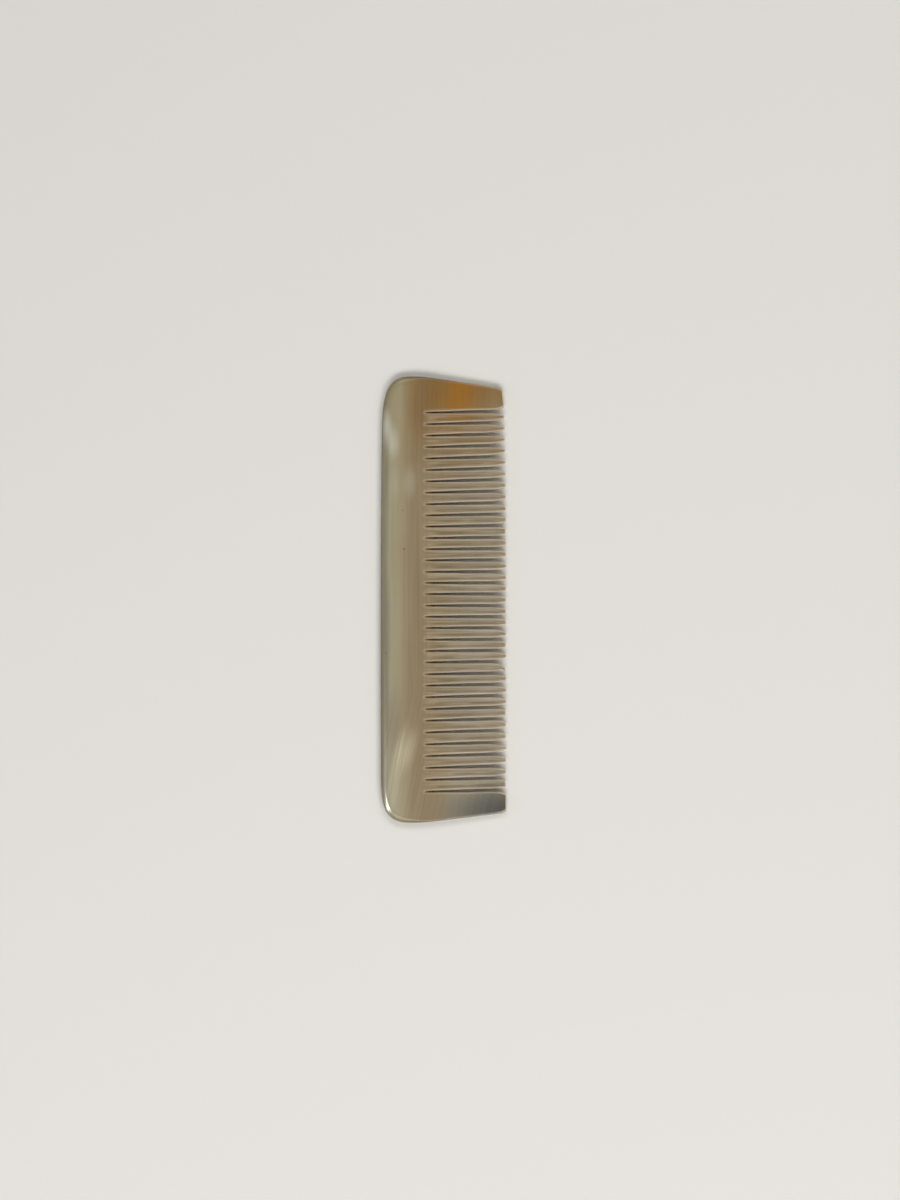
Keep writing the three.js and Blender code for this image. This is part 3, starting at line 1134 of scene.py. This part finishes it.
@dataclass(frozen=True)
class HornFinish:
    """The look of the polished blond horn. Places are in millimetres from the comb's middle.

    The bands are measured across the comb from its back. A pair gives where a change starts and
    where it is done. The swell's height and the glow's depth are in metres, as the shader takes them.
    """

    first_bands: tuple[tuple[float, Tone], ...] = (
        (0.5, Tone.OLIVE), (3.0, Tone.FAWN), (5.2, Tone.FAWN), (9.2, Tone.HONEY), (11.6, Tone.BROWN),
        (18.0, Tone.UMBER), (23.0, Tone.AMBER), (29.0, Tone.UMBER), (32.5, Tone.HONEY),
        (36.0, Tone.HONEY),
    )
    middle_bands: tuple[tuple[float, Tone], ...] = (
        (0.4, Tone.OLIVE), (1.6, Tone.OLIVE), (3.0, Tone.CREAM), (5.2, Tone.FAWN), (8.4, Tone.STRAW),
        (11.0, Tone.SAND), (18.0, Tone.SAND), (25.0, Tone.TAUPE), (32.0, Tone.FOG), (36.0, Tone.TAUPE),
    )
    last_bands: tuple[tuple[float, Tone], ...] = (
        (0.4, Tone.OLIVE), (1.8, Tone.CREAM), (4.5, Tone.CREAM), (6.8, Tone.FAWN), (9.0, Tone.STRAW),
        (12.0, Tone.SAND), (18.0, Tone.STRAW), (22.0, Tone.FOG), (30.0, Tone.FOG), (36.0, Tone.FOG),
    )
    patches: tuple[Patch, ...] = (
        # The first two patches are a pale cloud with a painted reflection of a soft light on the back's
        # rounded edge.
        Patch((-16.6, 50.5), (1.9, 7.5), Tone.PEARL_REFLECTION, 0.85),
        Patch((-14.8, 45.8), (2.8, 7.0), Tone.PEARL_REFLECTION, 0.52),
        Patch((-14.4, 33.5), (2.6, 7.0), Tone.IVORY, 0.45),
        Patch((-9.9, 34.0), (2.8, 7.0), Tone.IVORY, 0.50),
        Patch((-9.6, 46.0), (2.6, 8.0), Tone.STRAW, 0.45),
        Patch((-6.8, 54.5), (4.4, 11.0), Tone.BROWN, 0.50),
        Patch((4.4, 55.2), (8.0, 9.0), Tone.AMBER, 0.85),
        Patch((-14.6, -36.0), (4.2, 15.0), Tone.TAUPE, 0.75),
        Patch((8.0, 46.0), (22.0, 16.0), Tone.HONEY, 0.60),
        Patch((10.0, 20.0), (20.0, 15.0), Tone.SAND, 0.45),
        Patch((18.0, -53.0), (14.0, 12.0), Tone.MIST, 0.90),
        Patch((8.0, -61.5), (15.0, 7.5), Tone.MIST, 0.90),
        Patch((20.0, -62.5), (24.0, 13.0), Tone.SLATE, 1.00),
        Patch((-1.6, -60.0), (0.9, 7.0), Tone.SAND, 0.60),
    )
    specks: tuple[tuple[float, float, float], ...] = (
        (-11.5, 14.7, 0.40), (-16.8, -15.5, 0.32), (-11.9, 26.0, 0.28),
    )
    fan: tuple[Patch, ...] = (
        Patch((-8.7, -45.0), (3.3, 11.5), Tone.SILK, 1.00),
        Patch((-9.2, -57.0), (3.6, 12.0), Tone.SILK, 0.60),
        Patch((-6.2, -44.0), (2.2, 9.0), Tone.SILK, 0.60),
    )
    # The rims: a painted highlight on the sawn rims, painted shade on the outer rims, and painted amber
    # glow and shade in the slots' roots.
    rims: tuple[tuple[str, Tone, float], ...] = (
        ("sawn_rim_highlight", Tone.FILED_LINE_AND_RIM_HIGHLIGHT, 0.72), ("outer_rim_shade", Tone.EDGE_SHADE, 0.45), ("kerf", Tone.ROOT_GLOW_SHADE, 0.80),
    )
    back_layers: tuple[Layers, ...] = (
        Layers((0.5, 0.02, 0.2), (0.25, 0.78), Tone.SHADE, 0.24),
        Layers((1.3, 0.03, 0.5), (0.28, 0.75), Tone.MILK, 0.17),
    )
    silk: Layers = Layers((1.1, 0.02, 0.3), (0.38, 0.60), Tone.SILK, 0.65)
    grain: tuple[Layers, ...] = (
        Layers((0.05, 1.5, 0.5), (0.42, 0.66), Tone.SHADE, 0.34, 2.0),
        Layers((0.05, 1.5, 0.5), (0.42, 0.66), Tone.FILED_LINE_AND_RIM_HIGHLIGHT, 0.22, 2.0, 40.0),
    )
    core: Layers = Layers((0.12, 0.4, 0.0), (0.30, 0.60), Tone.CORE, 0.68, 1.0)
    width: float = 36.7
    mid_height: float = 1.5
    patch_depth: float = 60.0
    lean_from: float = -27.0
    lean_slope: float = -0.20
    sway_stretch: tuple[float, float, float] = (0.05, 0.03, 0.0)
    sway_across: float = 3.0
    sway_along: float = 10.0
    first_tones_back: float = 30.0
    first_tones_teeth: float = 44.0
    first_tones_full: float = 61.0
    back_to_teeth: tuple[float, float] = (-9.0, 1.0)
    last_tones: tuple[float, float] = (-30.0, -50.0)
    layers_on_teeth: float = 0.35
    teeth_to_back: tuple[float, float] = (0.0, -7.0)
    grain_start: tuple[float, float] = (-6.5, -3.5)
    grain_aside: tuple[float, float] = (56.0, 54.6)
    roughness: float = 0.24
    roughness_swing: float = 0.10
    root_roughness: float = 0.25
    swell_scale: float = 0.14
    swell_strength: float = 0.3
    swell_height: float = 0.12 * MM
    reflection: float = 0.32
    glow: float = 0.4
    glow_tint: tuple[float, float, float] = (1.0, 0.62, 0.32)
    glow_depth: float = 0.9 * MM


class HornMaterial:
    """Builds the horn's material, step by step from the bands across the comb to its polish."""

    def __init__(self, finish: HornFinish) -> None:
        """Starts the material and finds the place on the comb in millimetres.

        Args:
            finish: The tones, patches and gloss to use.
        """
        self.finish = finish
        self.material = bpy.data.materials.new("blond_horn")
        self.material.use_nodes = True
        self.material.node_tree.nodes.clear()
        self.graph = Graph(self.material.node_tree)
        self.patch_tree, self.layer_tree = soft_patch_group(), horn_layers_group()
        raw = self.graph.add("TexCoord").outputs["Object"]
        scale = {0: raw, 1: (1 / MM, 1 / MM, 1 / MM)}
        self.place = self.graph.add("VectorMath", scale, operation="MULTIPLY").outputs[0]
        axes = self.graph.add("SeparateXYZ", {0: self.place})
        self.x, self.y, self.z = axes.outputs
        self.leaned = self._lean()

    def build(self) -> bpy.types.Material:
        """Links the colour and the polish to a principled shader.

        Returns:
            The finished material.
        """
        colour = self._bands()
        for patch in self.finish.patches:
            colour = self._stain(colour, patch)
        colour = self._rims(self._grain(self._fan(self._layers(colour))))
        gloss, normal = self._polish()
        shader = self.graph.add("BsdfPrincipled", {
            "Base Color": colour, "Roughness": gloss, "Normal": normal,
            "Specular IOR Level": self.finish.reflection, "Subsurface Weight": self.finish.glow,
            "Subsurface Radius": self.finish.glow_tint, "Subsurface Scale": self.finish.glow_depth,
        })
        self.graph.add("OutputMaterial", {"Surface": shader.outputs[0]})
        return self.material

    def _share(self, mask: Socket, strength: float) -> Socket:
        """A mask times a strength."""
        return self.graph.math("MULTIPLY", mask, strength)

    def _noise(self, where: Socket, layers: Layers) -> Socket:
        """The noise of some layers at a place, from 0 to 1.

        Args:
            where: The place.
            layers: The layers.

        Returns:
            The noise's value.
        """
        low, high = layers.spread
        inputs = {"Place": where, "Stretch": layers.stretch, "Detail": layers.detail}
        inputs |= {"Low": low, "High": high}
        return self.graph.add("Group", inputs, node_tree=self.layer_tree).outputs[0]

    def _mask(self, where: Socket, centre: tuple[float, float], reach: tuple[float, float]) -> Socket:
        """A soft ellipse in plan that goes right through the comb.

        Args:
            where: The place.
            centre: The middle of the ellipse.
            reach: Its half lengths across and along the comb.

        Returns:
            1 in the middle, fading to 0 at the reach.
        """
        inputs = {"Place": where, "Centre": (*centre, self.finish.mid_height)}
        inputs |= {"Reach": (*reach, self.finish.patch_depth)}
        return self.graph.add("Group", inputs, node_tree=self.patch_tree).outputs[0]

    def _ramp_up(self, value: Socket, low: Number, high: float) -> Socket:
        """A smooth step from 0 at low to 1 at high."""
        inputs = {"Value": value, "From Min": low, "From Max": high}
        return self.graph.add("MapRange", inputs, interpolation_type="SMOOTHSTEP").outputs[0]

    def _attribute(self, name: str) -> Socket:
        """One of the masks that the comb's mesh carries."""
        return self.graph.add("Attribute", attribute_name=name).outputs["Fac"]

    def _lean(self) -> Socket:
        """The place with its layers leaning towards the back at the last end.

        Returns:
            The leaned place, in millimetres.
        """
        past = self.graph.math("SUBTRACT", self.y, self.finish.lean_from)
        past = self.graph.math("MINIMUM", past, 0.0)
        across = self.graph.math("MULTIPLY_ADD", past, self.finish.lean_slope, self.x)
        return self.graph.add("CombineXYZ", {0: across, 1: self.y, 2: self.z}).outputs[0]

    def _bands(self) -> Socket:
        """Tones in bands across the comb, with other tones at its two ends, all bent by slow noise.

        Returns:
            The horn's ground colour.
        """
        graph, finish = self.graph, self.finish
        slow = graph.add("VectorMath", {0: self.place, 1: finish.sway_stretch}, operation="MULTIPLY")
        wander = graph.add("TexNoise", {"Vector": slow.outputs[0], "Scale": 1.0, "Detail": 2.0})
        sway = graph.math("SUBTRACT", wander.outputs[0], 0.5)
        across = graph.math("MULTIPLY_ADD", sway, finish.sway_across, self.x)
        share = graph.math("DIVIDE", graph.math("ADD", across, finish.width / 2), finish.width)
        along = graph.math("MULTIPLY_ADD", sway, finish.sway_along, self.y)
        first, middle, last = (
            graph.ramp(share, [(at / finish.width, tone.value) for at, tone in bands])
            for bands in (finish.first_bands, finish.middle_bands, finish.last_bands)
        )
        later = finish.first_tones_teeth - finish.first_tones_back
        on_teeth = self._ramp_up(self.x, *finish.back_to_teeth)
        start = graph.math("MULTIPLY_ADD", on_teeth, later, finish.first_tones_back)
        colour = graph.blend(self._ramp_up(along, start, finish.first_tones_full), middle, first)
        return graph.blend(self._ramp_up(along, *finish.last_tones), colour, last)

    def _stain(self, colour: Socket, patch: Patch) -> Socket:
        """The colour with one more soft stain in it."""
        mask = self._mask(self.place, patch.centre, patch.reach)
        return self.graph.blend(self._share(mask, patch.strength), colour, patch.tone.value)

    def _layers(self, colour: Socket) -> Socket:
        """Growth layers along the back: broad darker ones and fine paler ones, faint on the teeth.

        Args:
            colour: The colour so far.

        Returns:
            The colour with its layers.
        """
        graph, least = self.graph, self.finish.layers_on_teeth
        on_back = self._ramp_up(self.x, *self.finish.teeth_to_back)
        on_back = graph.math("MULTIPLY_ADD", on_back, 1 - least, least)
        for layers in self.finish.back_layers:
            noise = self._share(self._noise(self.leaned, layers), layers.strength)
            colour = graph.blend(graph.math("MULTIPLY", noise, on_back), colour, layers.tone.value)
        return colour

    def _fan(self, colour: Socket) -> Socket:
        """Silky pale streaks that fan out over the back towards the last end.

        Args:
            colour: The colour so far.

        Returns:
            The colour with the fan.
        """
        graph, layers = self.graph, self.finish.silk
        silk = self._noise(self.leaned, layers)
        silk = graph.math("MULTIPLY_ADD", silk, layers.strength, 1 - layers.strength)
        for patch in self.finish.fan:
            mask = self._share(self._mask(self.leaned, patch.centre, patch.reach), patch.strength)
            colour = graph.blend(graph.math("MULTIPLY", mask, silk), colour, patch.tone.value)
        return colour

    def _grain(self, colour: Socket) -> Socket:
        """Lengthwise lines that the file drew along the teeth, and the darker line in their core.

        Args:
            colour: The colour so far.

        Returns:
            The colour with the grain.
        """
        graph, finish = self.graph, self.finish
        aside = self._ramp_up(graph.math("ABSOLUTE", self.y), *finish.grain_aside)
        on_teeth = graph.math("MULTIPLY", self._ramp_up(self.x, *finish.grain_start), aside)
        for layers in finish.grain:
            offset = (layers.offset, layers.offset, 0.0)
            shift = graph.add("VectorMath", {0: self.place, 1: offset}, operation="ADD")
            lines = self._share(self._noise(shift.outputs[0], layers), layers.strength)
            colour = graph.blend(graph.math("MULTIPLY", lines, on_teeth), colour, layers.tone.value)
        core = self._share(self._attribute("core"), finish.core.strength)
        line = graph.math("MULTIPLY", core, self._noise(self.place, finish.core))
        return graph.blend(line, colour, finish.core.tone.value)

    def _rims(self, colour: Socket) -> Socket:
        """Painted highlight on the sawn rims, painted shade on the outer rims, and painted amber glow
        and shade in the slots' roots.

        Args:
            colour: The colour so far.

        Returns:
            The colour with its painted rim highlight and shade, its painted root glow and shade, and
            specks.
        """
        # These paint a highlight on the sawn rims, shade on the outer rims, and amber glow and shade in
        # the roots.
        for mask, tone, strength in self.finish.rims:
            share = self._share(self._attribute(mask), strength)
            colour = self.graph.blend(share, colour, tone.value)
        for across, along, size in self.finish.specks:
            mask = self._mask(self.place, (across, along), (size, size))
            colour = self.graph.blend(mask, colour, Tone.SPECK.value)
        return colour

    def _polish(self) -> tuple[Socket, Socket]:
        """Softly uneven gloss, duller in the sawn roots, and a surface that is not quite flat.

        Returns:
            The roughness and the normal.
        """
        graph, finish = self.graph, self.finish
        inputs = {"Vector": self.place, "Scale": finish.swell_scale, "Detail": 2.0}
        swell = graph.add("TexNoise", inputs).outputs[0]
        least = finish.roughness - finish.roughness_swing / 2
        gloss = graph.math("MULTIPLY_ADD", swell, finish.roughness_swing, least)
        gloss = graph.math("MULTIPLY_ADD", self._attribute("kerf"), finish.root_roughness, gloss)
        inputs = {"Strength": finish.swell_strength, "Distance": finish.swell_height, "Height": swell}
        return gloss, graph.add("Bump", inputs).outputs[0]


# ---------------------------------------------------------------------------------------------
# The studio
# ---------------------------------------------------------------------------------------------


@dataclass(frozen=True)
class SoftLight:
    """An area light that faces the comb."""

    name: str
    place: tuple[float, float, float]
    size: tuple[float, float]
    power: float
    colour: tuple[float, float, float]
    only_gloss: bool = False

    def build(self) -> None:
        """Adds the light, turned towards the origin. One for gloss only shows in reflections."""
        light = bpy.data.lights.new(self.name, "AREA")
        light.shape = "RECTANGLE"
        light.size, light.size_y = self.size
        light.energy = self.power
        light.color = self.colour
        lamp = bpy.data.objects.new(self.name, light)
        lamp.location = self.place
        lamp.rotation_euler = Vector(self.place).to_track_quat("Z", "Y").to_euler()
        lamp.visible_diffuse = not self.only_gloss
        bpy.context.scene.collection.objects.link(lamp)


@dataclass
class Studio:
    """A pale floor, soft lights and a camera that looks straight down on the comb."""

    focal_length: float = 85.0
    sensor: float = 36.0
    frame_height: float = 348.9 * MM
    comb_aside: tuple[float, float] = (1.86 * MM, -0.12 * MM)
    floor_half: float = 2.5
    floor_gap: float = 0.02 * MM
    paper: Colour = srgb(214, 212, 208)
    paper_roughness: float = 0.9
    surround: Colour = (0.9, 0.9, 0.9, 1.0)
    surround_strength: float = 0.22
    lights: tuple[SoftLight, ...] = (
        SoftLight("key", (0.16, -0.64, 0.90), (1.1, 0.42), 9.6, (1.0, 0.99, 0.97)),
        SoftLight("fill", (0.16, 0.64, 0.90), (1.1, 0.42), 5.1, (1.0, 0.99, 0.97)),
        SoftLight("side", (-0.85, 0.10, 0.40), (0.12, 0.8), 0.8, (0.98, 0.99, 1.0)),
        SoftLight("inner_glint", (-0.37, -0.25, 0.54), (0.085, 0.03), 6.5, (0.97, 0.99, 1.0), True),
        SoftLight("outer_glint", (-0.53, -0.33, 0.29), (0.085, 0.03), 4.5, (0.97, 0.99, 1.0), True),
        SoftLight("tip_gloss", (0.66, 0.0, 0.42), (0.9, 0.10), 7.0, (1.0, 0.98, 0.95), True),
    )

    def build(self, bounds: tuple[Vector, Vector]) -> None:
        """Builds the floor, the lights, the surround and the camera.

        Args:
            bounds: The comb's lowest and highest corner.
        """
        self._floor()
        for light in self.lights:
            light.build()
        self._surround()
        self._camera(bounds)

    def _floor(self) -> None:
        """A square of pale, matt paper just under the comb."""
        half = self.floor_half
        mesh = bpy.data.meshes.new("floor")
        corners = [(-half, -half), (half, -half), (half, half), (-half, half)]
        mesh.from_pydata([(x, y, -self.floor_gap) for x, y in corners], [], [(0, 1, 2, 3)])
        floor = bpy.data.objects.new("floor", mesh)
        bpy.context.scene.collection.objects.link(floor)
        material = bpy.data.materials.new("pale_paper")
        material.use_nodes = True
        shader = material.node_tree.nodes["Principled BSDF"]
        shader.inputs["Base Color"].default_value = self.paper
        shader.inputs["Roughness"].default_value = self.paper_roughness
        mesh.materials.append(material)
        floor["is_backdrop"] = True

    def _surround(self) -> None:
        """An even pale surround."""
        world = bpy.data.worlds.new("surround")
        world.use_nodes = True
        surround = world.node_tree.nodes["Background"]
        surround.inputs["Color"].default_value = self.surround
        surround.inputs["Strength"].default_value = self.surround_strength
        bpy.context.scene.world = world

    def _camera(self, bounds: tuple[Vector, Vector]) -> None:
        """A camera straight above, at the distance where the frame is as tall as it should be.

        Args:
            bounds: The comb's lowest and highest corner.
        """
        data = bpy.data.cameras.new("camera")
        data.lens = self.focal_length
        data.sensor_width = self.sensor
        camera = bpy.data.objects.new("camera", data)
        middle = (bounds[0] + bounds[1]) / 2
        distance = self.focal_length * self.frame_height / self.sensor
        aside_x, aside_y = self.comb_aside
        camera.location = (middle.x + aside_x, middle.y + aside_y, bounds[1].z + distance)
        bpy.context.scene.collection.objects.link(camera)
        bpy.context.scene.camera = camera


def main() -> None:
    """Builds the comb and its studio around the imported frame."""
    logging.basicConfig(level=logging.INFO, format="%(name)s: %(message)s")
    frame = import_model()
    cad_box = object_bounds()
    comb = CombBody(frame["nodes"]).build()
    comb.data.materials.append(HornMaterial(HornFinish()).build())
    triangles = sum(len(face.vertices) - 2 for face in comb.data.polygons)
    log.info("%s: %d triangles", comb.name, triangles)
    Studio().build(cad_box)
    bpy.context.scene.view_settings.view_transform = "Standard"
    log.info("studio: floor, lights and camera")


if __name__ == "__main__":
    main()
